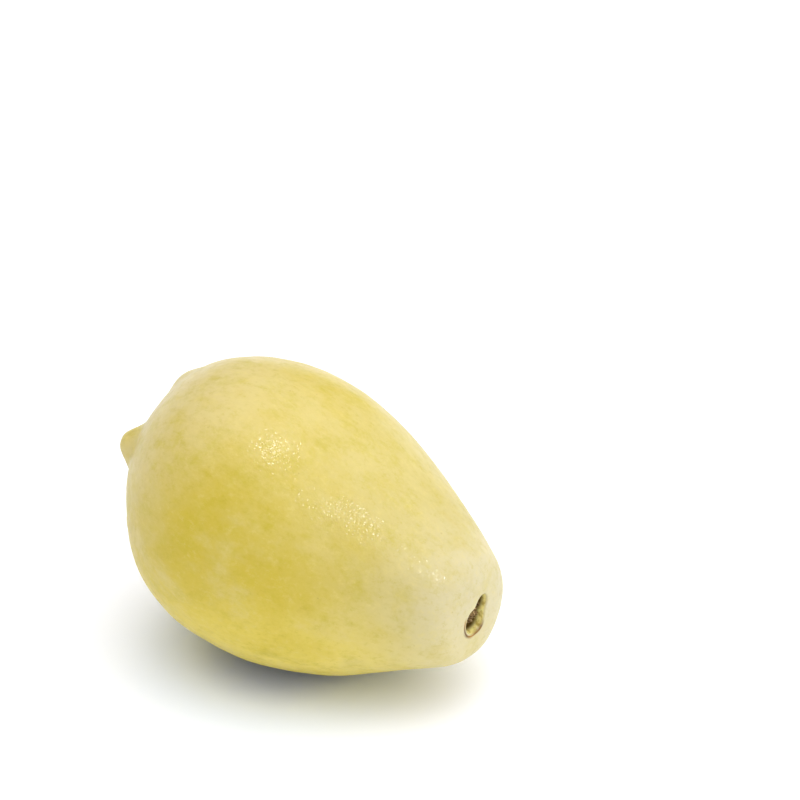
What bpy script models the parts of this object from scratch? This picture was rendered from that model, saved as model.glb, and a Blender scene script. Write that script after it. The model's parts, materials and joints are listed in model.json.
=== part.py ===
"""A ripe, pear-shaped guava lying on its side, at its real size.

The whole fruit is one solid. The torn stalk in its stem pit and the dried calyx in the basin at its
wide end are pieces of their own. All three are shaped in the fruit's own frame, in millimetres: the
middle of the blossom end is the origin, and X runs along the fruit towards the stem end.
"""
import math

import bmesh
import bpy
import numpy as np
from mathutils import Matrix, Vector

MM = 0.001
CLEARANCE = 0.35

# The outline of the fruit is one smooth curve from the middle of the blossom end to the middle of
# the stem end. These distances along the axis and out from it pull the curve into shape.
LENGTH = 91
PULL_ALONG = (0, 0, 11, 33.5, 55, 70.5, 90, LENGTH, LENGTH)
PULL_OUT = (0, 30, 37, 45, 40, 21.5, 11, 23, 0)

# The axis is straight near the middle and bends towards both ends
STRAIGHT_AT = 0.4 * LENGTH
BLOSSOM_DROP = 5.4
STEM_RISE = 8
STEM_LEAN = 4.8

# Fleshy lobes round the blossom basin: angle from the top, place on the outline, height, and
# half-width across and round the ring that they make
LOBES = (
    (307, 0.082, 3.8, 6.0, 7.0),
    (9, 0.125, 1.2, 6.5, 7.5),
    (84, 0.100, 2.8, 6.5, 8.5),
    (158, 0.092, 2.2, 6.5, 9.0),
    (232, 0.088, 1.2, 6.5, 9.0),
)
LOBE_SPLAY = math.radians(25)
LOBE_TIP = 0.12

# A soft rib runs back from each lobe, and a low rim joins the lobes round the basin
RIB_HEIGHT = 0.5
RIB_HALF_ANGLE = math.radians(34)
RIB_LENGTH = 34
RIM_HEIGHT = 0.6
RIM_RADIUS = 18
RIM_HALF_WIDTH = 8
BASIN_RADIUS = 13
BASIN_FLOOR_RADIUS = 5.6
BASIN_DEPTH = 3.2

# Low, broad swells of the skin: height, waves round the fruit, waves along it, start of the wave
SWELLS = (
    (0.23, 2, 1.1, 1.8),
    (0.13, 5, 2.2, 0.0),
    (0.05, 8, -3.3, 1.3),
)
SWELL_FADE = 16

# A shallow hollow under the neck: angle from the top, distance along, depth, half-length
NECK_HOLLOW = (197, 78.5, 1.5, 18)

# The pit that the stalk grew from: egg-shaped, with a crease on its narrow side. The egg and the crease
# are shares of the radius.
PIT_RADIUS = 3.54
PIT_DEPTH = 4.2
PIT_WALL = 1.3
PIT_EGG = 0.48
PIT_BLUNT_ANGLE = math.radians(196)
PIT_CREASE = 1.02
PIT_CREASE_SHARPNESS = 3.5
PIT_CREASE_ANGLE = math.radians(31)

# The torn stalk stands on the floor of the pit and has its shape. Its rings run from its foot to the
# middle of its splintered top, as shares of the pit's radius.
STUB_RINGS = (0.46, 0.54, 0.51, 0.38, 0.19)
STUB_FOOT = 0.5
STUB_HEIGHT = 3.0
STUB_SPLINTER = 1.0
STUB_HOLLOW = 0.8
STUB_SEED = 7
STUB_SEGMENTS = 28

# The dried calyx stands on the floor of the basin: a low cup cut into pointed sepals. Its wall is
# given as shares of the height and of the flare, up the outside and down the inside.
SEPALS = 5
SEPAL_OUTSIDE = ((0.35, 0.25), (0.75, 0.75), (1.0, 1.0))
SEPAL_INSIDE = ((0.96, 1.0), (0.72, 0.7), (0.40, 0.22))
SEPAL_BLUNTNESS = 0.8
CALYX_FOOT_RADIUS = 4.0
CALYX_RADIUS = 4.6
CALYX_HOLLOW = 3.3
CALYX_HEIGHT = 4.4
CALYX_NOTCH = 0.58
CALYX_WALL = 0.8
CALYX_FLARE = 2.4
CALYX_UNEVEN = 0.3
STYLE_RADIUS = 0.9
STYLE_TIP_RADIUS = 0.6
STYLE_HEIGHT = 3.2
CALYX_SEGMENTS = 60

# How the fruit lies: stem end dipped and rolled a little, so that its weight is over a small flat spot
REST_PITCH = math.radians(17)
REST_ROLL = math.radians(-5)
FLAT_DEPTH = 0.8

# Rings of points along the outline: from, to, how many
SEGMENTS = 72
RING_STRETCHES = (
    (0.0, 0.16, 30),
    (0.16, 0.9, 20),
    (0.9, 0.962, 6),
    (0.962, 0.992, 16),
    (0.992, 1.0, 2),
)

# Colour and roughness of each material
SKIN_LOOK = ((0.76, 0.66, 0.24, 1), 0.38)
STALK_LOOK = ((0.16, 0.08, 0.03, 1), 0.9)
CALYX_LOOK = ((0.13, 0.07, 0.035, 1), 0.85)


def pulled_curve(pulls, s):
    """The value at share s of the smooth curve that the pull values shape."""
    last = len(pulls) - 1
    total = 0.0
    for k, pull in enumerate(pulls):
        total = total + math.comb(last, k) * s**k * (1 - s)**(last - k) * pull
    return total


def soft_step(low, high, value):
    """0 below low, 1 above high, and a smooth rise between."""
    share = np.clip((value - low) / (high - low), 0, 1)
    return share * share * (3 - 2 * share)


def soft_mound(distance):
    """1 at distance 0, falling smoothly to 0 at distance 1."""
    return np.clip(1 - distance**2, 0, None)**2


def axis_frame(along):
    """The bent axis at a distance along the fruit: its point, and its forward, up and side directions."""
    ahead = np.clip(along - STRAIGHT_AT, 0, None) / (LENGTH - STRAIGHT_AT)
    behind = np.clip(STRAIGHT_AT - along, 0, None) / STRAIGHT_AT
    rise = STEM_RISE * ahead**2 - BLOSSOM_DROP * behind**2
    lean = -STEM_LEAN * ahead**2
    rise_slope = 2 * STEM_RISE * ahead / (LENGTH - STRAIGHT_AT) + 2 * BLOSSOM_DROP * behind / STRAIGHT_AT
    lean_slope = -2 * STEM_LEAN * ahead / (LENGTH - STRAIGHT_AT)
    point = np.stack([along, lean, rise], axis=-1)
    forward = unit(np.stack([np.ones_like(along), lean_slope, rise_slope], axis=-1))
    up = unit(np.array([0, 0, 1]) - forward[..., 2:3] * forward)
    side = np.cross(up, forward)
    return point, forward, up, side


def unit(vectors):
    """The vectors at length 1."""
    return vectors / np.linalg.norm(vectors, axis=-1, keepdims=True)


def outline_point(s, angle):
    """The plain turned skin, without lobes, pit or swells, and the directions out and forward there."""
    along = pulled_curve(PULL_ALONG, s)
    radius = pulled_curve(PULL_OUT, s)
    point, forward, up, side = axis_frame(along)
    outward = np.cos(angle)[..., None] * up + np.sin(angle)[..., None] * side
    return point + radius[..., None] * outward, outward, forward, along, radius


def turn_between(angle, degrees):
    """The shortest turn, in radians, from an angle in degrees to the given angles."""
    return np.angle(np.exp(1j * (angle - math.radians(degrees))))


def swell_height(along, angle, radius):
    """How far the broad swells and the ribs behind the lobes lift the skin."""
    height = 0.0
    for lift, around, lengthwise, start in SWELLS:
        height = height + lift * np.sin(around * angle + 2 * math.pi * lengthwise * along / LENGTH + start)
    for lobe in LOBES:
        turn = turn_between(angle, lobe[0])
        height = height + RIB_HEIGHT * soft_mound(turn / RIB_HALF_ANGLE) * soft_mound(along / RIB_LENGTH)
    hollow_angle, hollow_along, depth, half_length = NECK_HOLLOW
    away = np.hypot(along - hollow_along, radius * turn_between(angle, hollow_angle))
    height = height - depth * soft_mound(away / half_length)
    return height * soft_step(0, SWELL_FADE, radius)


def lobe_offset(skin, s):
    """How far the blossom end's lobes carry each point of the skin."""
    offset = np.zeros_like(skin)
    for lobe_angle, place, height, half_width, half_length in LOBES:
        top, outward, forward, _, _ = outline_point(np.array(place), np.array(math.radians(lobe_angle)))
        direction = math.sin(LOBE_SPLAY) * outward - math.cos(LOBE_SPLAY) * forward
        round_ring = (skin - top) @ np.cross(forward, outward)
        across = np.sqrt(((skin - top)**2).sum(axis=-1) - round_ring**2)
        distance = np.hypot(across / half_width, round_ring / half_length)
        offset += height * (1 - soft_step(LOBE_TIP, 1, distance))[..., None] * direction
    return offset * (s < 0.5)[..., None]


def pit_edge(angle):
    """The radius of the stem pit's lip."""
    egg = PIT_EGG * np.cos(angle - PIT_BLUNT_ANGLE)
    crease = PIT_CREASE * np.clip(np.cos(angle - PIT_CREASE_ANGLE), 0, None)**PIT_CREASE_SHARPNESS
    return PIT_RADIUS * (1 + egg + crease)


def pit_depth(angle, radius):
    """How far the stem pit sinks below the end of the fruit."""
    edge = pit_edge(angle)
    return PIT_DEPTH * (1 - soft_step(edge - PIT_WALL, edge, radius))


def fruit_skin(s, angle):
    """The finished skin of the fruit at share s of the outline and an angle round the axis."""
    skin, outward, forward, along, radius = outline_point(s, angle)
    point = skin + swell_height(along, angle, radius)[..., None] * outward
    point += lobe_offset(skin, s)
    basin = BASIN_DEPTH * (1 - soft_step(BASIN_FLOOR_RADIUS, BASIN_RADIUS, radius))
    rim = RIM_HEIGHT * soft_mound((radius - RIM_RADIUS) / RIM_HALF_WIDTH)
    inward = np.where(s < 0.5, basin - rim, -pit_depth(angle, radius))
    return point + inward[..., None] * forward


def ring_places():
    """The shares of the outline that carry a ring of points, without its two ends."""
    places = []
    for start, end, count in RING_STRETCHES:
        places += [start + (end - start) * k / count for k in range(count)]
    return np.array(places[1:])


def closed_mesh(name, rings, first, last):
    """One closed mesh: a first point, rings of points with faces between them, and a last point."""
    count, segments, _ = rings.shape
    points = [Vector(first), *map(Vector, rings.reshape(-1, 3)), Vector(last)]
    faces = []
    for k in range(segments):
        after = (k + 1) % segments
        faces.append((0, 1 + after, 1 + k))
        for ring in range(count - 1):
            low = 1 + ring * segments
            high = low + segments
            faces.append((low + k, low + after, high + after, high + k))
        top = 1 + (count - 1) * segments
        faces.append((top + k, top + after, len(points) - 1))
    mesh = bpy.data.meshes.new(name)
    mesh.from_pydata([point * MM for point in points], [], faces)
    body = bmesh.new()
    body.from_mesh(mesh)
    bmesh.ops.recalc_face_normals(body, faces=body.faces)
    body.to_mesh(mesh)
    body.free()
    return mesh


def plain_material(name, colour, roughness):
    """A Principled material of one colour."""
    material = bpy.data.materials.new(name)
    material.use_nodes = True
    shader = material.node_tree.nodes["Principled BSDF"]
    shader.inputs["Base Color"].default_value = colour
    shader.inputs["Roughness"].default_value = roughness
    shader.inputs["Metallic"].default_value = 0
    material.diffuse_color = colour
    return material


def add_piece(mesh, material, rest):
    """An object for the mesh, smooth shaded and lying as the fruit lies."""
    mesh.shade_smooth()
    mesh.materials.append(material)
    piece = bpy.data.objects.new(mesh.name, mesh)
    bpy.context.collection.objects.link(piece)
    piece.parent = rest
    return piece


def fruit_mesh():
    """The whole fruit, not yet flattened underneath."""
    s, angle = np.meshgrid(ring_places(), np.arange(SEGMENTS) * 2 * math.pi / SEGMENTS, indexing="ij")
    ends = fruit_skin(np.array([0.0, 1.0]), np.zeros(2))
    return closed_mesh("guava_fruit", fruit_skin(s, angle), ends[0], ends[1])


def flatten_underside(mesh, down):
    """Cut the mesh level at a small depth above its lowest point."""
    low = max(vertex.co.dot(down) for vertex in mesh.vertices) - FLAT_DEPTH * MM
    body = bmesh.new()
    body.from_mesh(mesh)
    geometry = body.verts[:] + body.edges[:] + body.faces[:]
    cut = bmesh.ops.bisect_plane(body, geom=geometry, plane_co=down * low, plane_no=down, clear_outer=True)
    rim = [edge for edge in cut["geom_cut"] if isinstance(edge, bmesh.types.BMEdge)]
    bmesh.ops.contextual_create(body, geom=rim)
    bmesh.ops.recalc_face_normals(body, faces=body.faces)
    body.to_mesh(mesh)
    body.free()


def turned_rings(s, depths, radii):
    """Rings of points round one end of the axis, at s 0 or 1, each with its depths into the fruit."""
    point, forward, up, side = axis_frame(np.array(s * LENGTH))
    inward = (1 - 2 * s) * forward
    rings = []
    for depth, radius in zip(depths, radii):
        angle = np.arange(len(depth)) * 2 * math.pi / len(depth)
        outward = np.cos(angle)[:, None] * up + np.sin(angle)[:, None] * side
        rings.append(point + np.outer(depth, inward) + radius[:, None] * outward)
    return np.array(rings), point, inward


def stub_mesh():
    """The torn stalk: a short plug with a splintered top, standing on the floor of the stem pit."""
    draw = np.random.default_rng(STUB_SEED)
    splinters = draw.uniform(0, STUB_SPLINTER, STUB_SEGMENTS)
    even = np.ones(STUB_SEGMENTS)
    floor = PIT_DEPTH - CLEARANCE
    top = floor - STUB_HEIGHT
    depths = [
        floor * even,
        (floor - STUB_FOOT) * even,
        top + splinters,
        top + (splinters + STUB_HOLLOW) / 2,
        (top + STUB_HOLLOW) * even,
    ]
    edge = pit_edge(np.arange(STUB_SEGMENTS) * 2 * math.pi / STUB_SEGMENTS)
    rings, point, inward = turned_rings(1, depths, [share * edge for share in STUB_RINGS])
    foot = point + floor * inward
    tip = point + (top + STUB_HOLLOW) * inward
    return closed_mesh("stalk_stub", rings, foot, tip)


def calyx_mesh():
    """The dried calyx: a cup with pointed, flaring sepals and the stump of the style inside."""
    angle = np.arange(CALYX_SEGMENTS) * 2 * math.pi / CALYX_SEGMENTS
    even = np.ones(CALYX_SEGMENTS)
    floor = BASIN_DEPTH - CLEARANCE
    pointed = np.abs(np.cos(angle * SEPALS / 2))**SEPAL_BLUNTNESS
    rim = CALYX_HEIGHT * (1 - CALYX_NOTCH * (1 - pointed))
    flare = CALYX_FLARE * pointed**2 + CALYX_UNEVEN * np.sin(2 * angle)
    depths = [floor * even]
    radii = [CALYX_FOOT_RADIUS * even]
    for wall_radius, wall in ((CALYX_RADIUS, SEPAL_OUTSIDE), (CALYX_RADIUS - CALYX_WALL, SEPAL_INSIDE)):
        for rise, spread in wall:
            depths.append(floor - rise * rim)
            radii.append(wall_radius + spread * flare)
    middle = ((CALYX_WALL, CALYX_HOLLOW), (CALYX_WALL, STYLE_RADIUS), (STYLE_HEIGHT, STYLE_TIP_RADIUS))
    for rise, radius in middle:
        depths.append((floor - rise) * even)
        radii.append(radius * even)
    rings, point, inward = turned_rings(0, depths, radii)
    foot = point + floor * inward
    tip = point + (floor - STYLE_HEIGHT) * inward
    return closed_mesh("dried_calyx", rings, foot, tip)


def rest_turn():
    """The rotation that lays the fruit on the surface."""
    return Matrix.Rotation(REST_ROLL, 3, "X") @ Matrix.Rotation(REST_PITCH, 3, "Y")


def rest_location(mesh, turn):
    """Where the fruit's own origin lies when its box stands on the world's origin, centred."""
    points = [turn @ vertex.co for vertex in mesh.vertices]
    low = Vector(min(point[k] for point in points) for k in range(3))
    high = Vector(max(point[k] for point in points) for k in range(3))
    middle = (low + high) / 2
    return Vector((-middle.x, -middle.y, -low.z))


def main():
    """Clear the scene, then make the fruit and the two pieces in its ends, lying on the surface."""
    for item in list(bpy.data.objects):
        bpy.data.objects.remove(item, do_unlink=True)
    turn = rest_turn()
    fruit = fruit_mesh()
    flatten_underside(fruit, turn.transposed() @ Vector((0, 0, -1)))
    rest = bpy.data.objects.new("fruit_as_it_lies", None)
    bpy.context.collection.objects.link(rest)
    rest.matrix_world = Matrix.Translation(rest_location(fruit, turn)) @ turn.to_4x4()
    add_piece(fruit, plain_material("guava_skin", *SKIN_LOOK), rest)
    add_piece(stub_mesh(), plain_material("torn_stalk", *STALK_LOOK), rest)
    add_piece(calyx_mesh(), plain_material("dry_sepals", *CALYX_LOOK), rest)


main()
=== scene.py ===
"""The looks of a ripe, pear-shaped guava lying on its side.

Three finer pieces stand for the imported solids: the waxy skin, the torn stalk in the stem pit and the
dried calyx in the basin at the wide end. They are shaped in the fruit's own frame, in millimetres:
X starts at the blossom end and runs along the middle of the fruit towards the stem end, and Z is up
until the fruit is laid down.
"""

import json
import math

import bmesh
import bpy
import numpy as np
from mathutils import Matrix, Vector, noise

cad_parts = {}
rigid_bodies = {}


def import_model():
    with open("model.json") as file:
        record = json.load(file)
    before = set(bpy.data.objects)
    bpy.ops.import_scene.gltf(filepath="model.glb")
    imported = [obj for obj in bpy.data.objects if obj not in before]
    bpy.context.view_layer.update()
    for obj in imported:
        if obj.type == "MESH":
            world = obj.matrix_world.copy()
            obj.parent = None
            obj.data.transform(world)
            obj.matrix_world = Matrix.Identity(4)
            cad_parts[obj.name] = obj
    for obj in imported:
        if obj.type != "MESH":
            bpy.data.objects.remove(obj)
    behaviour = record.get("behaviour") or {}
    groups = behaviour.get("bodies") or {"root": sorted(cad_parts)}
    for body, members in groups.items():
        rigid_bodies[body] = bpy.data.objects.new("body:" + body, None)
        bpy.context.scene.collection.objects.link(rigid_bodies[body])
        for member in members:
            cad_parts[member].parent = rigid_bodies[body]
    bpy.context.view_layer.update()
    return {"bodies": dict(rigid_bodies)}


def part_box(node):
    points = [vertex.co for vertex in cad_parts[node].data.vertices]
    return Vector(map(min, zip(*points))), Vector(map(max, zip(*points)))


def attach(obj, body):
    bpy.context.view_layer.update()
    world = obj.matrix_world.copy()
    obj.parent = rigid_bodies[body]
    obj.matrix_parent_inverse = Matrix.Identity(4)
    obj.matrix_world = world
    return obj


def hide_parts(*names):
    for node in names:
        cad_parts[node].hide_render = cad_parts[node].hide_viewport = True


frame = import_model()
BODY = next(iter(frame["bodies"]))

MM = 0.001

# The outline of the fruit is one smooth curve from the middle of the blossom end to the middle of
# the stem end. These distances along the axis and out from it pull the curve into shape.
LENGTH = 91
PULL_ALONG = (0, 0, 11, 33.5, 55, 70.5, 90, LENGTH, LENGTH)
PULL_OUT = (0, 30, 37, 45, 40, 21.5, 11, 23, 0)

# The share of the outline at which its blossom half ends and its stem half starts
HALFWAY = 0.5

# The axis is straight near the middle and bends towards both ends
STRAIGHT_AT = 0.4 * LENGTH
BLOSSOM_DROP = 5.4
STEM_RISE = 8
STEM_LEAN = 4.8

# Fleshy lobes round the blossom basin: angle from the top, place on the outline, height, and
# half-width across and round the ring that they make
LOBES = (
    (307, 0.082, 3.8, 6.0, 7.0),
    (9, 0.125, 1.2, 6.5, 7.5),
    (84, 0.100, 2.8, 6.5, 8.5),
    (158, 0.092, 2.2, 6.5, 9.0),
    (232, 0.088, 1.2, 6.5, 9.0),
)
LOBE_SPLAY = math.radians(25)
LOBE_TIP = 0.12

# A soft rib runs back from each lobe, and a low rim joins the lobes round the basin
RIB_HEIGHT = 0.5
RIB_HALF_ANGLE = math.radians(34)
RIB_LENGTH = 34
RIM_HEIGHT = 0.6
RIM_RADIUS = 18
RIM_HALF_WIDTH = 8
BASIN_RADIUS = 13
BASIN_FLOOR_RADIUS = 5.6
BASIN_DEPTH = 3.2

# Low, broad swells of the skin: height, waves round the fruit, waves along it, start of the wave.
# They fade out within a small radius of the axis.
SWELLS = (
    (0.23, 2, 1.1, 1.8),
    (0.13, 5, 2.2, 0.0),
    (0.05, 8, -3.3, 1.3),
)
SWELL_FADE = 16

# A shallow hollow under the neck: angle from the top, distance along, depth, half-length
NECK_HOLLOW = (197, 78.5, 1.5, 18)

# The pit that the stalk grew from: egg-shaped, with a crease on its narrow side. The egg and the crease
# are shares of the radius.
PIT_RADIUS = 3.54
PIT_DEPTH = 4.2
PIT_WALL = 1.3
PIT_EGG = 0.48
PIT_BLUNT_ANGLE = math.radians(196)
PIT_CREASE = 1.02
PIT_CREASE_SHARPNESS = 3.5
PIT_CREASE_ANGLE = math.radians(31)

# The pit's lip is brown on one side and lies further out where it is rounded over. Its floor is darkened,
# partly brown tissue and partly painted shade, and so is the crease, from the first to the second of two
# depths. A spread is two cosines of the turn away from an angle: where a change starts, and where it is
# full.
LIP_ANGLE = math.radians(203)
LIP_SPREAD = (0.15, 0.65)
LIP_HALF_WIDTH = 0.5
LIP_OUT_ANGLE = math.radians(245)
LIP_OUT_SPREAD = (0.3, 0.9)
LIP_OUT = 0.45
FLOOR_BROWN_AND_SHADE = (1.3, 2.5)
CREASE_BROWN_AND_SHADE = (0.7, 2.0)
CREASE_BROWN_AND_SHADE_SPREAD = (0.4, 0.8)

# How the fruit lies, and how deep its soft underside is pressed flat
REST_PITCH = math.radians(17)
REST_ROLL = math.radians(-5)
FLAT_DEPTH = 0.8

# Rings of points along the skin's outline (from, to, how many), and points in each ring
SKIN_STRETCHES = (
    (0.0, 0.16, 84),
    (0.16, 0.9, 122),
    (0.9, 0.962, 14),
    (0.962, 0.992, 42),
    (0.992, 1.0, 4),
)
SKIN_SEGMENTS = 360

# The skin's own relief: wavelength and height of each size of bump
SKIN_RELIEF = ((17, 0.20), (7, 0.07), (3.6, 0.04), (2.1, 0.022))

# The dry pieces stand this far above the floors of their hollows
GAP = 0.35

# The torn stalk is a plug that follows the pit's edge at a share of its radius, with waves round it: height
# as a share of the radius, count and start. It is narrower at its foot, and widest at a share of its height.
PLUG_SHARE = 0.54
PLUG_WAVES = ((0.03, 9, 1), (0.02, 23, 0))
PLUG_FOOT = 0.88
PLUG_WIDEST = 5 / 6
PLUG_HEIGHT = 2.9
PLUG_TONE = 0.45
PLUG_SEGMENTS = 144
PLUG_SIDE_RINGS = 10
PLUG_TOP_RINGS = 26
PLUG_LAST_RING = 0.02

# The plug's torn top has a hole (radius and angle of its middle, its own radius, and its depth as a
# share of the height) and bumps (wavelength and height), each set lower by a share of its height
PLUG_HOLE = (1.5, math.radians(42), 1.2, 0.55)
PLUG_RELIEF = ((1.6, 1.3), (0.7, 0.6), (0.3, 0.15))
PLUG_WEAR = 0.35

# Strands on the side of the crease, and thinner fibres all round, stand on the plug. Each has its root
# inside the plug, within a share of the plug's area, and bends to a thin tip. The ranges are of its length
# and its thickness, as shares, and of its tone.
STALK_SEED = 7
STRANDS = 11
STRAND_RADIUS = 0.495
STRAND_REACH = 1.2
STRAND_SPREAD = 1
FIBRES = 36
FIBRE_RADIUS = 0.176
FIBRE_REACH = 1.3
FIBRE_ROOT = 0.6
FIBRE_ROOTED_AREA = 0.8
FIBRE_LEAN = 0.4
FIBRE_TWIST = 0.6
FIBRE_TAPER = 0.75
FIBRE_LENGTHS = (0.5, 1.0)
FIBRE_THICKNESSES = (0.7, 1.4)
FIBRE_TONES = (0.1, 1)
FIBRE_POINTS = 7
FIBRE_SIDES = 8

# The dried calyx is a low cup on the floor of the basin. Its outline runs from its foot over its rim into
# its hollow middle, in shares of its height and its radius. Waves in its height, each with its own height,
# count and start, make the rim uneven.
CALYX_SEED = 21
CUP_RADIUS = 4.0
CUP_HEIGHT = 1.6
CUP_OUTLINE = (
    (0, 0.80),
    (0.12, 0.92),
    (0.4, 1.0),
    (0.75, 1.06),
    (0.95, 1.1),
    (1.0, 1.06),
    (0.93, 1.0),
    (0.6, 0.9),
    (0.3, 0.78),
    (0.24, 0.6),
    (0.28, 0.35),
    (0.3, 0.12),
)
CUP_WAVES = ((0.25, 5, 0.6), (0.15, 11, 2))
CUP_ROUGHNESS = 0.008
CUP_TONE = 0.35
CUP_SEGMENTS = 120

# Five sepals grow from the cup, each a little out of its even place: thin leaves that run into a point,
# thin out and curl over. The ranges are of the lean at the root and the curl at the tip, in radians, and
# of the length, the cupping and the tone.
SEPALS = 5
SEPAL_SHIFT = 0.12
SEPAL_ROOT_RADIUS = 0.98 * CUP_RADIUS
SEPAL_ROOT_HEIGHT = 0.4 * CUP_HEIGHT
SEPAL_LENGTH = 5.8
SEPAL_WIDTH = 5.6
SEPAL_THICKNESS = 0.28
SEPAL_THINNING = 0.6
SEPAL_POINT = 0.6
SEPAL_BELLY = 0.25
SEPAL_LEANS = (0.1, 0.5)
SEPAL_CURLS = (1.1, 2.2)
SEPAL_LATE_CURL = 1.3
SEPAL_LENGTHS = (0.8, 1.15)
SEPAL_CUPPINGS = (-0.15, 0.4)
SEPAL_SWAY = 0.2
SEPAL_TONES = (0.3, 0.9)
SEPAL_POINTS_ALONG = 30
SEPAL_POINTS_ACROSS = 33

# A sepal's edge is ragged and frayed, as shares of its width, and ruffled. Veins and wrinkles lift the leaf
# in ridges. Each has a height, and a rate of waves along the leaf, or across it for the veins.
SEPAL_RAG = (0.09, 11)
SEPAL_FRAY = (0.05, 29)
SEPAL_RUFFLE = (0.4, 9)
SEPAL_VEIN = (0.06, 14)
SEPAL_WRINKLE = (0.05, 17)

# Dry stamens bend out of the cup. The ranges are of the radius of the root, as a share of the cup's, and
# of the length and the tone. The lean has a mean and a spread.
STAMENS = 46
STAMEN_RADIUS = 0.11
STAMEN_ROOT_HEIGHT = 0.25 * CUP_HEIGHT
STAMEN_ROOTS = (0.45, 0.85)
STAMEN_LENGTHS = (1.6, 3.2)
STAMEN_LEAN = (-0.2, 0.7)
STAMEN_SWAY = 0.5
STAMEN_DROOP = 0.15
STAMEN_TAPER = 0.3
STAMEN_KNOB = 0.7
STAMEN_TONES = (0.4, 1)
STAMEN_POINTS = 8
STAMEN_SIDES = 6

# The rest of the style is a short bent post, wider at its foot and with a small knob
STYLE_RADIUS = 0.55
STYLE_HEIGHT = 3.4
STYLE_ROOT_HEIGHT = 0.4
STYLE_BEND = 0.7
STYLE_BEND_ANGLE = 2.0
STYLE_FOOT = 1.25
STYLE_TAPER = 0.7
STYLE_KNOB = 0.25
STYLE_TONE = 0.5
STYLE_POINTS = 12
STYLE_SIDES = 16

# Colours of the skin, from the blossom end to the stem end, as shares of its length
SKIN_COLOURS = (
    (0.00, (0.56, 0.455, 0.15)),
    (0.12, (0.62, 0.50, 0.20)),
    (0.35, (0.59, 0.475, 0.13)),
    (0.60, (0.565, 0.465, 0.14)),
    (0.80, (0.54, 0.45, 0.155)),
    (0.91, (0.55, 0.475, 0.225)),
    (1.00, (0.575, 0.515, 0.32)),
)

# Colours that the skin takes on in places, and those of its specks and of the pit
DEEP_YELLOW = (0.52, 0.395, 0.012, 1)
LEAF_GREEN = (0.455, 0.368, 0.015, 1)
CREAM = (0.59, 0.50, 0.26, 1)
PALE_YELLOW = (0.61, 0.51, 0.20, 1)
# Painted light: a brighter yellow that stands in for light bounced up from the floor onto the underside
BOUNCE_LIT_YELLOW = (0.80, 0.645, 0.12, 1)
GRAIN_GREEN = (0.43, 0.34, 0.02, 1)
GRAIN_CREAM = (0.68, 0.57, 0.19, 1)
SPECK_BROWN = (0.36, 0.25, 0.06, 1)
LIP_BROWN = (0.11, 0.042, 0.001, 1)
LIP_ORANGE = (0.34, 0.155, 0.004, 1)
PIT_CREAM = (0.80, 0.70, 0.26, 1)
PIT_OLIVE = (0.42, 0.32, 0.05, 1)
# The dark of the pit's floor and crease: partly brown tissue and partly painted shade
PIT_BROWN_AND_SHADE = (0.11, 0.057, 0.004, 1)

# Sides of the fruit where the skin's colour changes: the direction, the distances that way between
# which the change comes in, and its greatest share
FLANK = ((0.1, -0.87, -0.48), -2, 34, 0.75)
# The underside is painted brighter, as painted bounce light from the floor
PAINTED_BOUNCE_SIDE = ((0.35, -0.3, -0.89), 18, 50, 0.75)
TOP = ((0, -0.1, 1), 5, 38, 0.12)
SHOULDER = ((0, -0.1, 1), -12, 16, 0.55)

# How those changes fade along the fruit: the shares of its length where they are at their least and at
# their most, and how strong they are there, or else 0 and 1. The shoulder also fades in from the end.
FLANK_FADE = (0.95, 0.55)
# The painted bounce light on the underside is weaker towards the stem end
PAINTED_BOUNCE_SIDE_FADE = (1, 0.75, 0.4, 1)
SHOULDER_FADE = (0.32, 0.08)
SHOULDER_START = (0, 0.05)

# Clouds of colour in the skin: how each is stretched along the fruit's axes (a minus sign mirrors it),
# its size in mm, detail and roughness, and the colours that it brings. Each colour comes in between two
# values of the cloud, up to a greatest share. The patches are weaker at the stem end.
PATCHES = (
    ((-1.5, 1, 1), (11, 6, 0.62), ((DEEP_YELLOW, 0.54, 0.30, 0.34), (PALE_YELLOW, 0.48, 0.80, 0.7))),
    ((-1.3, 1, -1), (6, 5, 0.7), ((LEAF_GREEN, 0.46, 0.74, 0.5),)),
)
PATCH_FADE = (1.0, 0.85, 0.5, 1)
GRAIN_CLOUDS = (
    ((-1.4, 1, -1), (1.7, 5, 0.78), ((GRAIN_GREEN, 0.5, 0.74, 0.42), (GRAIN_CREAM, 0.5, 0.26, 0.36))),
)

# Blotches: size in mm and detail of their cloud, then two values of the cloud, and the values between which
# the result changes there, or else 0 and 1
GLOSS_BLOTCHES = ((2.5, 3), (0.3, 0.7, 0.42, 0.58))
SPECKED_BLOTCHES = ((6, 2), (0.5, 0.6))
WALL_BLOTCHES = ((1.0, 3), (0.45, 0.7, 0, 0.8))
PIT_BLOTCHES = ((1.2, 3), (0.25, 0.5, 0.8, 1))
LIP_BLOTCHES = ((3.0, 2), (0.65, 0.35))

# The specks: the space between them, then two distances from a speck's middle, as shares of that space,
# and how strong its brown is there
SPECK_SPACING = 3.2
SPECK_SHARES = (0.10, 0.03, 0, 0.35)

# The depths between which the skin turns into the wall of the pit
PIT_WALL_DEPTHS = (0.1, 0.6)

# The skin's fixed values, and the size and the heights of its grain and of the wax on it
SKIN_VALUES = {
    "Specular IOR Level": 0.15,
    "Subsurface Weight": 0.25,
    "Subsurface Radius": (1.0, 0.7, 0.25),
    "Subsurface Scale": 0.004,
    "Coat Weight": 0.25,
    "Coat Roughness": 0.16,
}
GRAIN_SIZE = 0.8
GRAIN_HEIGHT = 0.028
WAX_HEIGHT = 0.15

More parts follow.
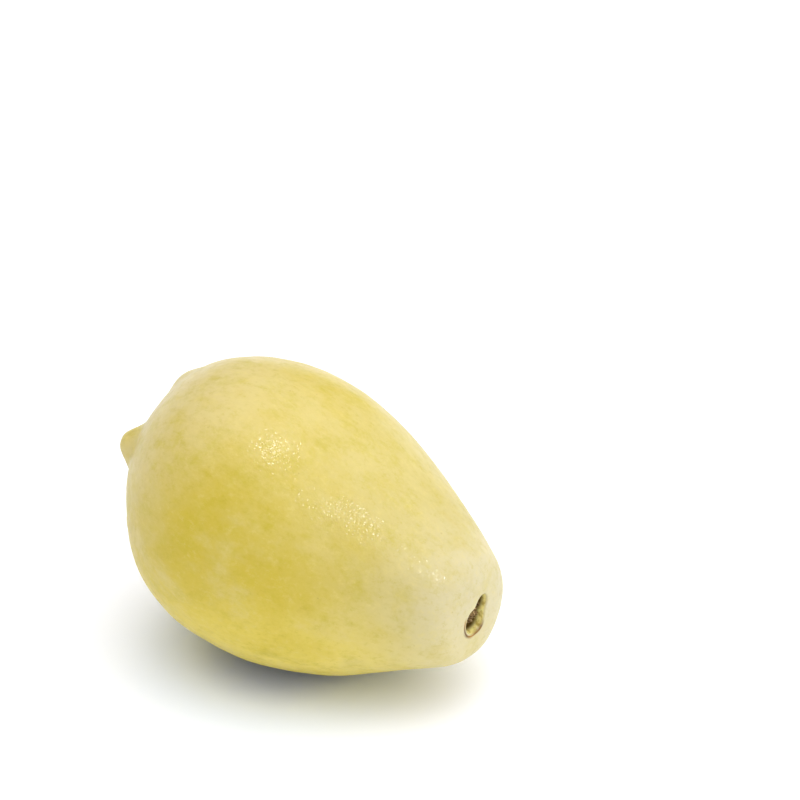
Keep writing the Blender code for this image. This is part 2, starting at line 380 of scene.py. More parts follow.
# The dry pieces: darkest and lightest colour, and the blotches of their fibrous grain
STALK_LOOKS = ((0.045, 0.02, 0.002, 1), (0.85, 0.58, 0.27, 1), ((1.0, 4, 0.6), (0.3, 0.7)))
CALYX_LOOKS = ((0.05, 0.026, 0.012, 1), (0.30, 0.18, 0.08, 1), ((0.8, 4, 0.6), (0.3, 0.7)))
DRY_STRETCH = (3, 1, 1)
DRY_ROUGHNESS = (0.6, 0.95)
DRY_GRAIN_HEIGHT = 0.1
DRY_GRAIN_STRENGTH = 0.8
DRY_SPECULAR = 0.15

# The floor has a painted shadow: it is darker and bluer near the fruit, where the light that the fruit sends
# back would otherwise fill its shadow and tint it yellow. These are its tones, the distances in metres from
# the middle of the shadow between which one tone fades into the next, and that middle.
FLOOR_SHADOW_TONES = ((0.55, 0.61, 0.91, 1), (0.84, 0.895, 1, 1), (0.94, 0.955, 1, 1))
FLOOR_SHADOW_FADES = ((0.008, 0.024), (0.025, 0.05))
PAINTED_SHADOW_MIDDLE = (-0.006, -0.008, 0)
FLOOR_VALUES = {"Roughness": 0.9, "Specular IOR Level": 0.1}

# The floor is round and level out to its radius, and then curves up all round as a low backdrop. These
# are in metres.
FLOOR_RADIUS = 1.5
FLOOR_SEGMENTS = 96
BACKDROP_REACH = 1.0
BACKDROP_HEIGHT = 0.5
BACKDROP_RINGS = 20

# The surround is a white dome with soft glows: azimuth and elevation in degrees, tightness, strength
SURROUND_GLOWS = (
    (0, 90, 4, 2.9),
    (90, 42, 4, 0.35),
    (120, 12, 4, 1.9),
    (40, 18, 4, 0.75),
    (240, 30, 4, 0.25),
)

# Two small lights make the sparkle of the wax: name, azimuth and elevation in degrees, width and depth
# in metres, and power. Both stand at the same distance from the fruit, in metres.
LIGHTS = (
    ("top_light", 45, 79, 0.07, 0.14, 4.0),
    ("stem_light", 66, 42, 0.05, 0.05, 2.2),
)
LIGHT_DISTANCE = 1.0

# The camera: where it stands round the middle of the fruit as it lies, and how far to the right of that
# middle and above it the camera aims, in millimetres
CAMERA_AZIMUTH = math.radians(30.6)
CAMERA_ELEVATION = math.radians(31.7)
CAMERA_DISTANCE = 600
CAMERA_LENS = 111.9
FRUIT_MIDDLE = (0, 0, 33)
AIM_RIGHT = 20.4
AIM_UP = 31.4


def pulled_curve(pulls, s):
    """The value at share s of the smooth curve that the pull values shape."""
    last = len(pulls) - 1
    total = 0.0
    for k, pull in enumerate(pulls):
        total = total + math.comb(last, k) * s**k * (1 - s)**(last - k) * pull
    return total


def soft_step(low, high, value):
    """0 below low, 1 above high, and a smooth rise between."""
    share = np.clip((value - low) / (high - low), 0, 1)
    return share * share * (3 - 2 * share)


def soft_mound(distance):
    """1 at distance 0, falling smoothly to 0 at distance 1."""
    return np.clip(1 - distance**2, 0, None)**2


def near_angle(angle, middle, spread):
    """1 close to the middle angle and 0 away from it, with a smooth change over the spread."""
    return soft_step(*spread, np.cos(angle - middle))


def ripple(height, rate, place, start):
    """A wave of the given height and rate."""
    return height * np.sin(rate * place + start)


def ring_waves(waves, angle):
    """The sum of waves round a ring, each with a height, a count and a start."""
    return sum(ripple(height, count, angle, start) for height, count, start in waves)


def ring_angles(segments):
    """The angles of evenly spaced points round a ring."""
    return np.arange(segments) * 2 * math.pi / segments


def unit(vectors):
    """The vectors at length 1."""
    return vectors / np.linalg.norm(vectors, axis=-1, keepdims=True)


def axis_frame(along):
    """The bent axis at a distance along the fruit: its point, and its forward, up and side directions."""
    ahead = np.clip(along - STRAIGHT_AT, 0, None) / (LENGTH - STRAIGHT_AT)
    behind = np.clip(STRAIGHT_AT - along, 0, None) / STRAIGHT_AT
    height = STEM_RISE * ahead**2 - BLOSSOM_DROP * behind**2
    lean = -STEM_LEAN * ahead**2
    slope = 2 * STEM_RISE * ahead / (LENGTH - STRAIGHT_AT) + 2 * BLOSSOM_DROP * behind / STRAIGHT_AT
    lean_slope = -2 * STEM_LEAN * ahead / (LENGTH - STRAIGHT_AT)
    point = np.stack([along, lean, height], axis=-1)
    forward = unit(np.stack([np.ones_like(along), lean_slope, slope], axis=-1))
    up = unit(np.array([0, 0, 1]) - forward[..., 2:3] * forward)
    side = np.cross(up, forward)
    return point, forward, up, side


def outline_point(s, angle):
    """The plain turned skin, without lobes, pit or swells, and the directions out and forward there."""
    along = pulled_curve(PULL_ALONG, s)
    radius = pulled_curve(PULL_OUT, s)
    point, forward, up, side = axis_frame(along)
    outward = np.cos(angle)[..., None] * up + np.sin(angle)[..., None] * side
    return point + radius[..., None] * outward, outward, forward, along, radius


def turn_between(angle, degrees):
    """The shortest turn, in radians, from an angle in degrees to the given angles."""
    return np.angle(np.exp(1j * (angle - math.radians(degrees))))


def swell_height(along, angle, radius):
    """How far the broad swells and the ribs behind the lobes lift the skin."""
    height = 0.0
    for lift, around, lengthwise, start in SWELLS:
        height = height + lift * np.sin(around * angle + 2 * math.pi * lengthwise * along / LENGTH + start)
    for lobe in LOBES:
        turn = turn_between(angle, lobe[0])
        height = height + RIB_HEIGHT * soft_mound(turn / RIB_HALF_ANGLE) * soft_mound(along / RIB_LENGTH)
    hollow_angle, hollow_along, depth, half_length = NECK_HOLLOW
    away = np.hypot(along - hollow_along, radius * turn_between(angle, hollow_angle))
    height = height - depth * soft_mound(away / half_length)
    return height * soft_step(0, SWELL_FADE, radius)


def lobe_offset(skin, s):
    """How far the blossom end's lobes carry each point of the skin."""
    offset = np.zeros_like(skin)
    for lobe_angle, place, height, half_width, half_length in LOBES:
        top, outward, forward, _, _ = outline_point(np.array(place), np.array(math.radians(lobe_angle)))
        direction = math.sin(LOBE_SPLAY) * outward - math.cos(LOBE_SPLAY) * forward
        round_ring = (skin - top) @ np.cross(forward, outward)
        across = np.sqrt(((skin - top)**2).sum(axis=-1) - round_ring**2)
        distance = np.hypot(across / half_width, round_ring / half_length)
        offset += height * (1 - soft_step(LOBE_TIP, 1, distance))[..., None] * direction
    return offset * (s < HALFWAY)[..., None]


def pit_edge(angle):
    """The radius of the stem pit's lip."""
    egg = PIT_EGG * np.cos(angle - PIT_BLUNT_ANGLE)
    crease = PIT_CREASE * np.clip(np.cos(angle - PIT_CREASE_ANGLE), 0, None)**PIT_CREASE_SHARPNESS
    return PIT_RADIUS * (1 + egg + crease)


def pit_depth(angle, radius):
    """How far the stem pit sinks below the end of the fruit."""
    edge = pit_edge(angle)
    return PIT_DEPTH * (1 - soft_step(edge - PIT_WALL, edge, radius))


def fruit_skin(s, angle):
    """The finished skin of the fruit at share s of the outline and an angle round the axis."""
    skin, outward, forward, along, radius = outline_point(s, angle)
    point = skin + swell_height(along, angle, radius)[..., None] * outward
    point += lobe_offset(skin, s)
    basin = BASIN_DEPTH * (1 - soft_step(BASIN_FLOOR_RADIUS, BASIN_RADIUS, radius))
    rim = RIM_HEIGHT * soft_mound((radius - RIM_RADIUS) / RIM_HALF_WIDTH)
    inward = np.where(s < HALFWAY, basin - rim, -pit_depth(angle, radius))
    return point + inward[..., None] * forward


def ring_places():
    """The shares of the outline that carry a ring of points, without its two ends."""
    places = []
    for start, end, count in SKIN_STRETCHES:
        places += [start + (end - start) * k / count for k in range(count)]
    return np.array(places[1:])


def ring_faces(count, segments, start):
    """Faces of a closed shape: a first point, rings of points, and a last point."""
    faces = []
    last = start + 1 + count * segments
    for k in range(segments):
        after = (k + 1) % segments
        faces.append((start, start + 1 + after, start + 1 + k))
        for ring in range(count - 1):
            low = start + 1 + ring * segments
            high = low + segments
            faces.append((low + k, low + after, high + after, high + k))
        top = last - segments
        faces.append((top + k, top + after, last))
    return faces


class Shape:
    """Points and faces of one piece, gathered from several closed shapes, each with a tone from 0 to 1."""

    def __init__(self):
        self.points = []
        self.faces = []
        self.tones = []

    def add_rings(self, rings, first, last, tone):
        """A closed shape from rings of points between a first and a last point."""
        count, segments, _ = rings.shape
        self.faces += ring_faces(count, segments, len(self.points))
        self.points += [first, *rings.reshape(-1, 3), last]
        self.tones += [tone] * (count * segments + 2)

    def add_tube(self, path, radii, segments, tone):
        """A closed tube along the path, with a radius at each of its points."""
        ahead = unit(np.gradient(path, axis=0))
        helper = np.eye(3)[np.argmin(np.abs(ahead[0]))]
        first_side = unit(np.cross(ahead, helper))
        second_side = np.cross(ahead, first_side)
        angle = ring_angles(segments)[:, None]
        turn = np.cos(angle) * first_side[:, None] + np.sin(angle) * second_side[:, None]
        rings = path[:, None] + radii[:, None, None] * turn
        self.add_rings(rings, path[0], path[-1], tone)

    def mesh(self, name):
        """The gathered shapes as one mesh in metres, with each point's own place in mm and its tone."""
        mesh = bpy.data.meshes.new(name)
        mesh.from_pydata([Vector(point) * MM for point in self.points], [], self.faces)
        own = np.array(self.points, np.float32).ravel()
        mesh.attributes.new("own_place", "FLOAT_VECTOR", "POINT").data.foreach_set("vector", own)
        mesh.attributes.new("tone", "FLOAT", "POINT").data.foreach_set("value", self.tones)
        body = bmesh.new()
        body.from_mesh(mesh)
        bmesh.ops.recalc_face_normals(body, faces=body.faces)
        body.to_mesh(mesh)
        body.free()
        return mesh


def roughen(mesh, relief):
    """Lift the mesh's points along their normals by soft bumps: wavelength and height of each, in mm."""
    normals = [normal.vector.copy() for normal in mesh.vertex_normals]
    for vertex, normal in zip(mesh.vertices, normals):
        height = sum(lift * noise.noise(vertex.co / (wave * MM)) for wave, lift in relief)
        vertex.co += normal * height * MM


def rest_turn():
    """The rotation that lays the fruit on the surface."""
    return Matrix.Rotation(REST_ROLL, 3, "X") @ Matrix.Rotation(REST_PITCH, 3, "Y")


def press_flat(mesh, down, low):
    """Flatten what reaches lower than the level low."""
    for vertex in mesh.vertices:
        excess = vertex.co.dot(down) - low
        if excess > 0:
            vertex.co -= down * excess


def skin_mesh():
    """The skin, pressed flat underneath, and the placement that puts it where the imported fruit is."""
    s, angle = np.meshgrid(ring_places(), ring_angles(SKIN_SEGMENTS), indexing="ij")
    ends = fruit_skin(np.array([0.0, 1.0]), np.zeros(2))
    shape = Shape()
    shape.add_rings(fruit_skin(s, angle), ends[0], ends[1], 0)
    mesh = shape.mesh("waxy_skin")
    turn = rest_turn()
    down = turn.transposed() @ Vector((0, 0, -1))
    low = max(vertex.co.dot(down) for vertex in mesh.vertices) - FLAT_DEPTH * MM
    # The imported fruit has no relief, so the placement is worked out before the skin gets its own
    press_flat(mesh, down, low)
    placement = rest_placement(mesh, turn)
    roughen(mesh, SKIN_RELIEF)
    press_flat(mesh, down, low)
    add_skin_places(mesh, s, angle)
    return mesh, placement


def rest_placement(mesh, turn):
    """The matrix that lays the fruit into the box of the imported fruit."""
    points = np.array([turn @ vertex.co for vertex in mesh.vertices])
    low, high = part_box("guava_fruit")
    middle = (points.min(axis=0) + points.max(axis=0)) / 2
    shift_x = (low.x + high.x) / 2 - middle[0]
    shift_y = (low.y + high.y) / 2 - middle[1]
    shift_z = low.z - points[:, 2].min()
    return Matrix.Translation((shift_x, shift_y, shift_z)) @ turn.to_4x4()


def add_skin_places(mesh, s, angle):
    """Values of the skin's points for its material: place along it, and depth, lip and the dark of the pit,
    partly painted shade.
    """
    along = pulled_curve(PULL_ALONG, s)
    radius = pulled_curve(PULL_OUT, s)
    depth = np.where(s > HALFWAY, pit_depth(angle, radius), 0)
    out = LIP_OUT * near_angle(angle, LIP_OUT_ANGLE, LIP_OUT_SPREAD)
    lip = soft_mound((radius - pit_edge(angle) - out) / LIP_HALF_WIDTH)
    lip = np.where(s > HALFWAY, lip * near_angle(angle, LIP_ANGLE, LIP_SPREAD), 0)
    creased = near_angle(angle, PIT_CREASE_ANGLE, CREASE_BROWN_AND_SHADE_SPREAD)
    floor_share = soft_step(*FLOOR_BROWN_AND_SHADE, depth)
    # The pit darkens with depth in its floor and crease: partly brown tissue, partly painted shade
    dark = floor_share + creased * (soft_step(*CREASE_BROWN_AND_SHADE, depth) - floor_share)
    for name, values, first, last in (
        ("along", along, 0, LENGTH),
        ("pit_depth", depth, 0, PIT_DEPTH),
        ("pit_lip", lip, 0, 0),
        ("pit_brown_and_shade", dark, 0, 1),
    ):
        full = np.concatenate([[first], values.ravel(), [last]]).astype(np.float32)
        mesh.attributes.new(name, "FLOAT", "POINT").data.foreach_set("value", full)


class Place:
    """One end of the axis, 0 for the blossom end or 1 for the stem end, from which points are placed."""

    def __init__(self, end):
        self.point, forward, self.up, self.side = axis_frame(np.array(float(end * LENGTH)))
        self.inward = (1 - 2 * end) * forward

    def middle(self, depth):
        """The point in the middle, at a depth into the fruit."""
        return self.point + depth * self.inward

    def at(self, depth, radius, angle):
        """Points at a depth into the fruit, a radius from the middle and an angle round it."""
        depth, radius, angle = (np.asarray(values)[..., None] for values in (depth, radius, angle))
        outward = np.cos(angle) * self.up + np.sin(angle) * self.side
        return self.point + depth * self.inward + radius * outward


def stalk_mesh():
    """The torn stalk: a plug with a ragged top, and strands and fibres standing on it."""
    draw = np.random.default_rng(STALK_SEED)
    place = Place(1)
    floor = PIT_DEPTH - GAP
    shape = Shape()
    add_plug(shape, place, floor)
    for _ in range(STRANDS):
        angle = draw.normal(PIT_CREASE_ANGLE, STRAND_SPREAD)
        add_fibre(shape, draw, place, floor, angle, STRAND_RADIUS, STRAND_REACH)
    for _ in range(FIBRES):
        angle = draw.uniform(0, 2 * math.pi)
        add_fibre(shape, draw, place, floor, angle, FIBRE_RADIUS, FIBRE_REACH)
    return shape.mesh("torn_stalk")


def add_plug(shape, place, floor):
    """The stalk's plug: rings up its side, and in over its torn top."""
    angle = ring_angles(PLUG_SEGMENTS)
    edge = PLUG_SHARE * pit_edge(angle) * (1 + ring_waves(PLUG_WAVES, angle))
    side = np.linspace(0, 1, PLUG_SIDE_RINGS)[:, None]
    top = np.linspace(1, PLUG_LAST_RING, PLUG_TOP_RINGS)[:, None]
    side_radius = edge * (PLUG_FOOT + (1 - PLUG_FOOT) * np.sin(math.pi / 2 * side / PLUG_WIDEST))
    radius = np.concatenate([side_radius, top * side_radius[-1]])
    torn = plug_height(radius, angle)
    height = np.concatenate([side * torn[PLUG_SIDE_RINGS], torn[PLUG_SIDE_RINGS:]])
    rings = place.at(floor - height, radius, angle)
    shape.add_rings(rings, place.middle(floor), place.middle(floor - height[-1].mean()), PLUG_TONE)


def plug_height(radius, angle):
    """The height of the plug's torn top at a radius and an angle."""
    along = radius * np.cos(angle)
    across = radius * np.sin(angle)
    hole_radius, hole_angle, hole_size, hole_depth = PLUG_HOLE
    hole_along = hole_radius * math.cos(hole_angle)
    hole_across = hole_radius * math.sin(hole_angle)
    hole = soft_mound(np.hypot(along - hole_along, across - hole_across) / hole_size)
    height = PLUG_HEIGHT * (1 - hole_depth * hole)
    for wave, lift in PLUG_RELIEF:
        height = height + lift * (cloud(along / wave, across / wave, wave) - PLUG_WEAR)
    return height


@np.vectorize
def cloud(first, second, third):
    """A smooth random value at a place."""
    return noise.noise(Vector((first, second, third)))


def add_fibre(shape, draw, place, floor, angle, thickness, reach):
    """One torn fibre, from inside the plug to a thin bent tip."""
    radius = PLUG_SHARE * pit_edge(angle) * math.sqrt(draw.uniform(0, FIBRE_ROOTED_AREA))
    length = reach * draw.uniform(*FIBRE_LENGTHS)
    lean = draw.normal(0, FIBRE_LEAN)
    twist = draw.normal(0, FIBRE_TWIST)
    share = np.linspace(0, 1, FIBRE_POINTS)
    start = plug_height(radius, angle) - FIBRE_ROOT
    depth = floor - start - (length + FIBRE_ROOT) * share
    path = place.at(depth, radius + lean * share**2, angle + twist * share**2 / (radius + 1))
    radii = thickness * (1 - FIBRE_TAPER * share) * draw.uniform(*FIBRE_THICKNESSES)
    shape.add_tube(path, radii, FIBRE_SIDES, draw.uniform(*FIBRE_TONES))


def calyx_mesh():
    """The dried calyx: a ragged cup with five curled sepals, dry stamens and the rest of the style."""
    draw = np.random.default_rng(CALYX_SEED)
    place = Place(0)
    floor = BASIN_DEPTH - GAP
    shape = Shape()
    add_cup(shape, draw, place, floor)
    for k in range(SEPALS):
        shift = draw.uniform(-SEPAL_SHIFT, SEPAL_SHIFT)
        add_sepal(shape, draw, place, floor, (k + shift) * 2 * math.pi / SEPALS)
    for angle in ring_angles(STAMENS):
        add_stamen(shape, draw, place, floor, angle)
    add_style(shape, place, floor)
    return shape.mesh("dry_calyx")


def add_cup(shape, draw, place, floor):
    """The low cup that the sepals grow from, with an uneven rim and a hollow middle."""
    angle = ring_angles(CUP_SEGMENTS)
    heights, spreads = np.array(CUP_OUTLINE).T
    rough = 1 + draw.normal(0, CUP_ROUGHNESS, (len(heights), CUP_SEGMENTS))
    depth = floor - heights[:, None] * (CUP_HEIGHT + ring_waves(CUP_WAVES, angle))
    rings = place.at(depth, CUP_RADIUS * spreads[:, None] * rough, angle)
    hollow = place.middle(floor - heights[-1] * CUP_HEIGHT)
    shape.add_rings(rings, place.middle(floor), hollow, CUP_TONE)


def add_sepal(shape, draw, place, floor, middle):
    """One dry sepal: a thin pointed leaf that rises from the cup, curls over and wrinkles."""
    along = np.linspace(0, 1, SEPAL_POINTS_ALONG)[:, None]
    across = np.linspace(-1, 1, SEPAL_POINTS_ACROSS)[None, :]
    bend = draw.uniform(*SEPAL_LEANS) + draw.uniform(*SEPAL_CURLS) * along**SEPAL_LATE_CURL
    step = SEPAL_LENGTH * draw.uniform(*SEPAL_LENGTHS) / SEPAL_POINTS_ALONG
    climb = np.cumsum(np.cos(bend), axis=0) * step
    spread = np.cumsum(np.sin(bend), axis=0) * step
    width = SEPAL_WIDTH / 2 * (1 - along)**SEPAL_POINT * (1 + SEPAL_BELLY * np.sin(math.pi * along))
    cupped = draw.uniform(*SEPAL_CUPPINGS) * across**2 * width
    lift = cupped + sepal_relief(along, across, middle)
    radius = SEPAL_ROOT_RADIUS + spread
    sway = draw.normal(0, SEPAL_SWAY) * along**2
    ragged = 1 + ripple(*SEPAL_RAG, along, 4 * middle) + ripple(*SEPAL_FRAY, along, middle + across)
    angle = middle + sway + across * width * ragged / radius
    sides = []
    for side_lift in (lift, lift - SEPAL_THICKNESS * (1 - SEPAL_THINNING * along)):
        height = SEPAL_ROOT_HEIGHT + climb - np.sin(bend) * side_lift
        sides.append(place.at(floor - height, radius + np.cos(bend) * side_lift, angle))
    loops = np.concatenate([sides[0], sides[1][:, ::-1]], axis=1)
    shape.add_rings(loops, loops[0].mean(axis=0), loops[-1].mean(axis=0), draw.uniform(*SEPAL_TONES))


def sepal_relief(along, across, middle):
    """How far a sepal's ruffled edge, veins and wrinkles lift it off its smooth curve."""
    ruffled = np.abs(across)**3 * ripple(*SEPAL_RUFFLE, along, 5 * middle + 2 * across)
    veined = ripple(*SEPAL_VEIN, across, math.pi / 2)
    wrinkled = ripple(*SEPAL_WRINKLE, along, 3 * across)
    return ruffled + veined + wrinkled


def add_stamen(shape, draw, place, floor, angle):
    """One dry stamen: a thread with a small knob, which bends out of the cup."""
    share = np.linspace(0, 1, STAMEN_POINTS)
    start = CUP_RADIUS * draw.uniform(*STAMEN_ROOTS)
    length = draw.uniform(*STAMEN_LENGTHS)
    lean = draw.normal(*STAMEN_LEAN)
    sway = draw.normal(0, STAMEN_SWAY)
    depth = floor - STAMEN_ROOT_HEIGHT - length * (share - STAMEN_DROOP * share**2)
    path = place.at(depth, start + lean * share**2, angle + sway * share**2 / start)
    radii = STAMEN_RADIUS * (1 - STAMEN_TAPER * share + STAMEN_KNOB * share**8)
    shape.add_tube(path, radii, STAMEN_SIDES, draw.uniform(*STAMEN_TONES))


def add_style(shape, place, floor):
    """The rest of the style, standing in the middle of the cup."""
    share = np.linspace(0, 1, STYLE_POINTS)
    depth = floor - STYLE_ROOT_HEIGHT - STYLE_HEIGHT * share
    path = place.at(depth, STYLE_BEND * share**2, STYLE_BEND_ANGLE)
    radii = STYLE_RADIUS * (STYLE_FOOT - STYLE_TAPER * share + STYLE_KNOB * share**6)
    shape.add_tube(path, radii, STYLE_SIDES, STYLE_TONE)


def add_node(tree, kind, inputs=(), **settings):
    """A node with its settings, and its inputs set to values or linked from other nodes' outputs."""
    node = tree.nodes.new(kind)
    for key, value in settings.items():
        setattr(node, key, value)
    for key, value in dict(inputs).items():
        if isinstance(value, bpy.types.NodeSocket):
            tree.links.new(value, node.inputs[key])
        else:
            node.inputs[key].default_value = value
    return node


def own_place(tree, stretch=(1, 1, 1)):
    """Position in the fruit's own frame, in millimetres, stretched along its axes."""
    place = add_node(tree, "ShaderNodeAttribute", attribute_name="own_place").outputs["Vector"]
    scale = [1 / share for share in stretch]
    return add_node(tree, "ShaderNodeMapping", {"Vector": place, "Scale": scale}).outputs[0]


def cloudy(tree, place, size, detail, roughness=0.5):
    """Soft cloudy values between 0 and 1, with blobs of about the given size in mm."""
    inputs = {"Vector": place, "Scale": 1 / size, "Detail": detail, "Roughness": roughness}
    return add_node(tree, "ShaderNodeTexNoise", inputs).outputs["Fac"]


def rise(tree, value, low, high, to_low=0.0, to_high=1.0):
    """A smooth change from to_low, at values up to low, to to_high, at values from high."""
    inputs = {"Value": value, 1: low, 2: high, 3: to_low, 4: to_high}
    return add_node(tree, "ShaderNodeMapRange", inputs, interpolation_type="SMOOTHSTEP").outputs[0]


def blotched(tree, place, blotches):
    """A value that changes between soft blotches: their cloud, and the change as rise takes it."""
    texture, change = blotches
    return rise(tree, cloudy(tree, place, *texture), *change)


def calculated(tree, operation, first, second):
    """The result of a calculation with two values."""
    return add_node(tree, "ShaderNodeMath", {0: first, 1: second}, operation=operation).outputs[0]


def times(tree, first, second):
    """The product of two values."""
    return calculated(tree, "MULTIPLY", first, second)


def measured(tree, operation, place, other):
    """A measure between a place and another vector: the distance, or the dot product."""
    inputs = {0: place, 1: other}
    return add_node(tree, "ShaderNodeVectorMath", inputs, operation=operation).outputs["Value"]


def mixed(tree, share, first, second):
    """The first colour, changed to the second by the share."""
    inputs = {0: share, 6: first, 7: second}
    return add_node(tree, "ShaderNodeMix", inputs, data_type="RGBA").outputs[2]


def attribute(tree, name):
    """A value that the mesh carries for each of its points."""
    return add_node(tree, "ShaderNodeAttribute", attribute_name=name).outputs["Fac"]


def ramp(tree, value, stops):
    """A colour between the stops, which are values with colours."""
    node = add_node(tree, "ShaderNodeValToRGB", {"Fac": value})
    elements = node.color_ramp.elements
    for position, _ in stops[1:-1]:
        elements.new(position)
    for element, (position, colour) in zip(elements, stops):
        element.position = position
        element.color = (*colour, 1)
    return node.outputs["Color"]


def bumps(tree, values, height, strength=1.0):
    """Normals of small bumps of a height in mm, where the values are high."""
    inputs = {"Height": values, "Strength": strength, "Distance": height * MM}
    return add_node(tree, "ShaderNodeBump", inputs).outputs[0]


def new_material(name):
    """A material, its node tree and its shader."""
    material = bpy.data.materials.new(name)
    material.use_nodes = True
    return material, material.node_tree, material.node_tree.nodes["Principled BSDF"]


def set_values(shader, values):
    """Set fixed values of the shader."""
    for name, value in values.items():
        shader.inputs[name].default_value = value


def skin_material():
    """Waxy, softly mottled skin: yellow in the middle and cream at the stem end."""
    material, tree, shader = new_material("guava_skin")
    place = own_place(tree)
    along = times(tree, attribute(tree, "along"), 1 / LENGTH)
    colour = broad_colours(tree, place, along)
    colour = clouded(tree, colour, PATCHES, rise(tree, along, *PATCH_FADE))
    colour = clouded(tree, colour, GRAIN_CLOUDS, 1.0)
    colour = specked(tree, place, colour)
    colour = pit_colours(tree, place, colour)
    tree.links.new(colour, shader.inputs["Base Color"])
    tree.links.new(blotched(tree, place, GLOSS_BLOTCHES), shader.inputs["Roughness"])
    set_values(shader, SKIN_VALUES)
    grain = cloudy(tree, place, GRAIN_SIZE, 1)
    tree.links.new(bumps(tree, grain, GRAIN_HEIGHT), shader.inputs["Normal"])
    tree.links.new(bumps(tree, grain, WAX_HEIGHT), shader.inputs["Coat Normal"])
    return material


def side_share(tree, place, side):
    """How strong a change of colour towards one side of the fruit is at the place."""
    way, start, full, most = side
    return rise(tree, measured(tree, "DOT_PRODUCT", place, way), start, full, 0, most)


def broad_colours(tree, place, along):
    """The skin's colour along the fruit, and how it changes towards its sides, with painted bounce light on
    the underside.
    """
    colour = ramp(tree, along, SKIN_COLOURS)
    flank = times(tree, side_share(tree, place, FLANK), rise(tree, along, *FLANK_FADE))
    colour = mixed(tree, flank, colour, DEEP_YELLOW)
    # Painted bounce light: the underside turns a brighter yellow
    painted_bounce = times(tree, side_share(tree, place, PAINTED_BOUNCE_SIDE), rise(tree, along, *PAINTED_BOUNCE_SIDE_FADE))
    colour = mixed(tree, painted_bounce, colour, BOUNCE_LIT_YELLOW)
    colour = mixed(tree, side_share(tree, place, TOP), colour, CREAM)
    behind_lobes = times(tree, rise(tree, along, *SHOULDER_FADE), rise(tree, along, *SHOULDER_START))
    shoulder = times(tree, side_share(tree, place, SHOULDER), behind_lobes)
    return mixed(tree, shoulder, colour, CREAM)


def clouded(tree, colour, clouds, strength):
    """The colour with the soft patches of other colours that the clouds bring, at a strength."""
    for stretch, texture, changes in clouds:
        values = cloudy(tree, own_place(tree, stretch), *texture)
        for patch_colour, start, full, most in changes:
            share = times(tree, rise(tree, values, start, full, 0, most), strength)
            colour = mixed(tree, share, colour, patch_colour)
    return colour


def specked(tree, place, colour):
    """The colour with a few small brown specks."""
    dots = add_node(tree, "ShaderNodeTexVoronoi", {"Vector": place, "Scale": 1 / SPECK_SPACING})
    specks = rise(tree, dots.outputs["Distance"], *SPECK_SHARES)
    chosen = blotched(tree, place, SPECKED_BLOTCHES)
    return mixed(tree, times(tree, specks, chosen), colour, SPECK_BROWN)


def pit_colours(tree, place, colour):
    """The skin's colour with the brown lip, the cream wall and the dark floor of the stem pit, partly brown
    and partly painted shade.
    """
    wall = mixed(tree, blotched(tree, place, WALL_BLOTCHES), PIT_CREAM, PIT_OLIVE)
    colour = mixed(tree, rise(tree, attribute(tree, "pit_depth"), *PIT_WALL_DEPTHS), colour, wall)
    # Painted shade mixed with brown tissue: the pit's floor and crease darken with depth
    dark = times(tree, attribute(tree, "pit_brown_and_shade"), blotched(tree, place, PIT_BLOTCHES))
    colour = mixed(tree, dark, colour, PIT_BROWN_AND_SHADE)
    brown = mixed(tree, blotched(tree, place, LIP_BLOTCHES), LIP_BROWN, LIP_ORANGE)
    return mixed(tree, attribute(tree, "pit_lip"), colour, brown)


def dry_material(name, dark, light, grain):
    """A dry, brown, fibrous material with a tone of its own for each fibre."""
    material, tree, shader = new_material(name)
    grains = blotched(tree, own_place(tree, DRY_STRETCH), grain)
    tone = times(tree, attribute(tree, "tone"), grains)
    tree.links.new(mixed(tree, tone, dark, light), shader.inputs["Base Color"])
    tree.links.new(rise(tree, grains, 0, 1, *DRY_ROUGHNESS), shader.inputs["Roughness"])
    shader.inputs["Specular IOR Level"].default_value = DRY_SPECULAR
    tree.links.new(bumps(tree, grains, DRY_GRAIN_HEIGHT, DRY_GRAIN_STRENGTH), shader.inputs["Normal"])
    return material


def add_piece(mesh, material, placement, node):
    """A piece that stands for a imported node, lies as the fruit lies and moves with its body."""
    mesh.transform(placement)
    mesh.shade_smooth()
    mesh.materials.append(material)
    piece = bpy.data.objects.new(mesh.name, mesh)
    bpy.context.scene.collection.objects.link(piece)
    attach(piece, BODY)
    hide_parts(node)


def floor_mesh():
    """The level floor as one round face, and the rings of the backdrop that curves up from it."""
    angle = ring_angles(FLOOR_SEGMENTS)
    points = []
    for share in np.linspace(0, 1, BACKDROP_RINGS):
        radius = FLOOR_RADIUS + BACKDROP_REACH * share
        height = np.full(FLOOR_SEGMENTS, BACKDROP_HEIGHT * share**2)
        points += list(np.stack([radius * np.cos(angle), radius * np.sin(angle), height], axis=-1))
    faces = [tuple(range(FLOOR_SEGMENTS))]
    for low in range(0, (BACKDROP_RINGS - 1) * FLOOR_SEGMENTS, FLOOR_SEGMENTS):
        for k in range(FLOOR_SEGMENTS):
            after = (k + 1) % FLOOR_SEGMENTS
            faces.append((low + after, low + k, low + FLOOR_SEGMENTS + k, low + FLOOR_SEGMENTS + after))
    mesh = bpy.data.meshes.new("floor")
    mesh.from_pydata(points, [], faces)
    mesh.shade_smooth()
    return mesh


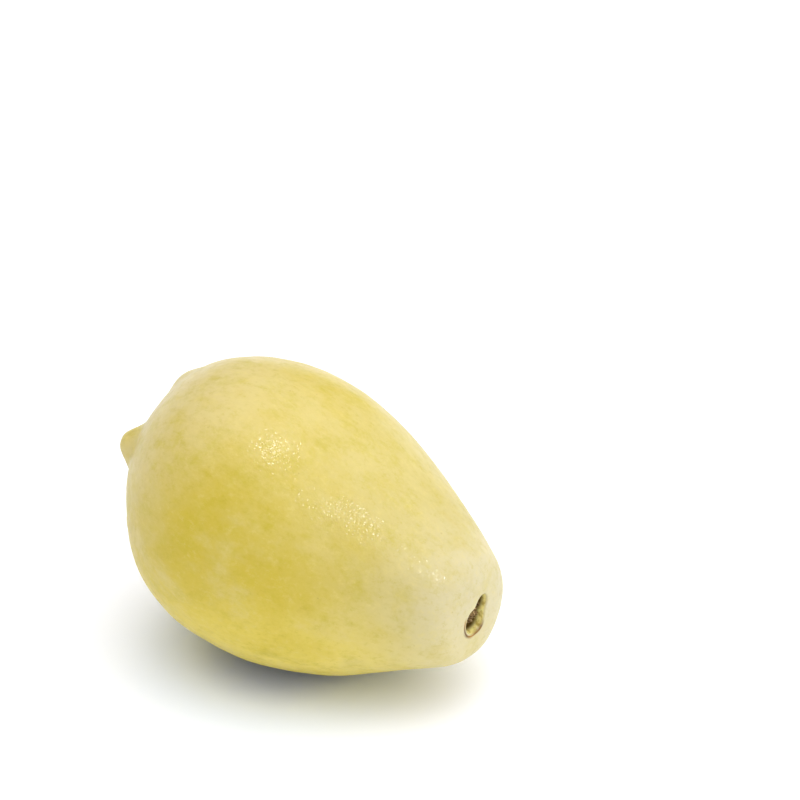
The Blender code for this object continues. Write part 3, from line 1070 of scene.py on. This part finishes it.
def add_floor():
    """The pale floor, with a painted shadow that is darker and bluer near the fruit."""
    mesh = floor_mesh()
    material, tree, shader = new_material("pale_floor_painted_shadow")
    place = add_node(tree, "ShaderNodeTexCoord").outputs["Object"]
    # Painted shadow: the floor's colour darkens and turns bluer towards the middle of the fruit's shadow
    away = measured(tree, "DISTANCE", place, PAINTED_SHADOW_MIDDLE)
    tone = FLOOR_SHADOW_TONES[0]
    for fade, next_tone in zip(FLOOR_SHADOW_FADES, FLOOR_SHADOW_TONES[1:]):
        tone = mixed(tree, rise(tree, away, *fade), tone, next_tone)
    tree.links.new(tone, shader.inputs["Base Color"])
    set_values(shader, FLOOR_VALUES)
    mesh.materials.append(material)
    floor = bpy.data.objects.new("floor", mesh)
    bpy.context.scene.collection.objects.link(floor)


def direction(azimuth, elevation):
    """The direction out to an azimuth, turned from the front, and an elevation."""
    flat = math.cos(elevation)
    return Vector((math.sin(azimuth) * flat, -math.cos(azimuth) * flat, math.sin(elevation)))


def aim(item, place, target):
    """Put the item at a place, looking at the target with its top up."""
    item.location = place
    item.rotation_euler = (target - place).to_track_quat("-Z", "Y").to_euler()


def add_light(name, azimuth, elevation, width, depth, power):
    """A small light that faces the fruit and only shows as the sparkle on its wax."""
    data = bpy.data.lights.new(name, "AREA")
    data.shape = "RECTANGLE"
    data.size = width
    data.size_y = depth
    data.energy = power
    light = bpy.data.objects.new(name, data)
    light.visible_diffuse = False
    bpy.context.scene.collection.objects.link(light)
    target = Vector(FRUIT_MIDDLE) * MM
    way = direction(math.radians(azimuth), math.radians(elevation))
    aim(light, target + way * LIGHT_DISTANCE, target)


def add_surround():
    """A bright white surround with soft glows."""
    world = bpy.data.worlds.new("white_surround")
    world.use_nodes = True
    tree = world.node_tree
    place = add_node(tree, "ShaderNodeTexCoord").outputs["Generated"]
    total = 0.0
    for azimuth, elevation, tightness, strength in SURROUND_GLOWS:
        way = direction(math.radians(azimuth), math.radians(elevation))
        facing = calculated(tree, "MAXIMUM", measured(tree, "DOT_PRODUCT", place, way), 0.0)
        glow = times(tree, calculated(tree, "POWER", facing, tightness), strength)
        total = calculated(tree, "ADD", glow, total)
    tree.links.new(total, tree.nodes["Background"].inputs["Strength"])
    tree.nodes["Background"].inputs["Color"].default_value = (1, 1, 1, 1)
    bpy.context.scene.world = world


def add_camera():
    """The camera, at the angle that the fruit is seen from."""
    data = bpy.data.cameras.new("camera")
    data.lens = CAMERA_LENS
    camera = bpy.data.objects.new("camera", data)
    bpy.context.scene.collection.objects.link(camera)
    back = direction(CAMERA_AZIMUTH, CAMERA_ELEVATION)
    right = Vector((math.cos(CAMERA_AZIMUTH), math.sin(CAMERA_AZIMUTH), 0))
    middle = Vector(FRUIT_MIDDLE) * MM
    target = middle + (AIM_RIGHT * right + AIM_UP * back.cross(right)) * MM
    aim(camera, middle + back * CAMERA_DISTANCE * MM, target)
    bpy.context.scene.camera = camera


def main():
    """Make the pieces, the floor, the light and the camera."""
    skin, placement = skin_mesh()
    stalk_brown = dry_material("torn_stalk", *STALK_LOOKS)
    calyx_brown = dry_material("dry_sepals", *CALYX_LOOKS)
    add_piece(skin, skin_material(), placement, "guava_fruit")
    add_piece(stalk_mesh(), stalk_brown, placement, "stalk_stub")
    add_piece(calyx_mesh(), calyx_brown, placement, "dried_calyx")
    add_floor()
    add_surround()
    for light in LIGHTS:
        add_light(*light)
    add_camera()
    bpy.context.scene.view_settings.view_transform = "Standard"


main()
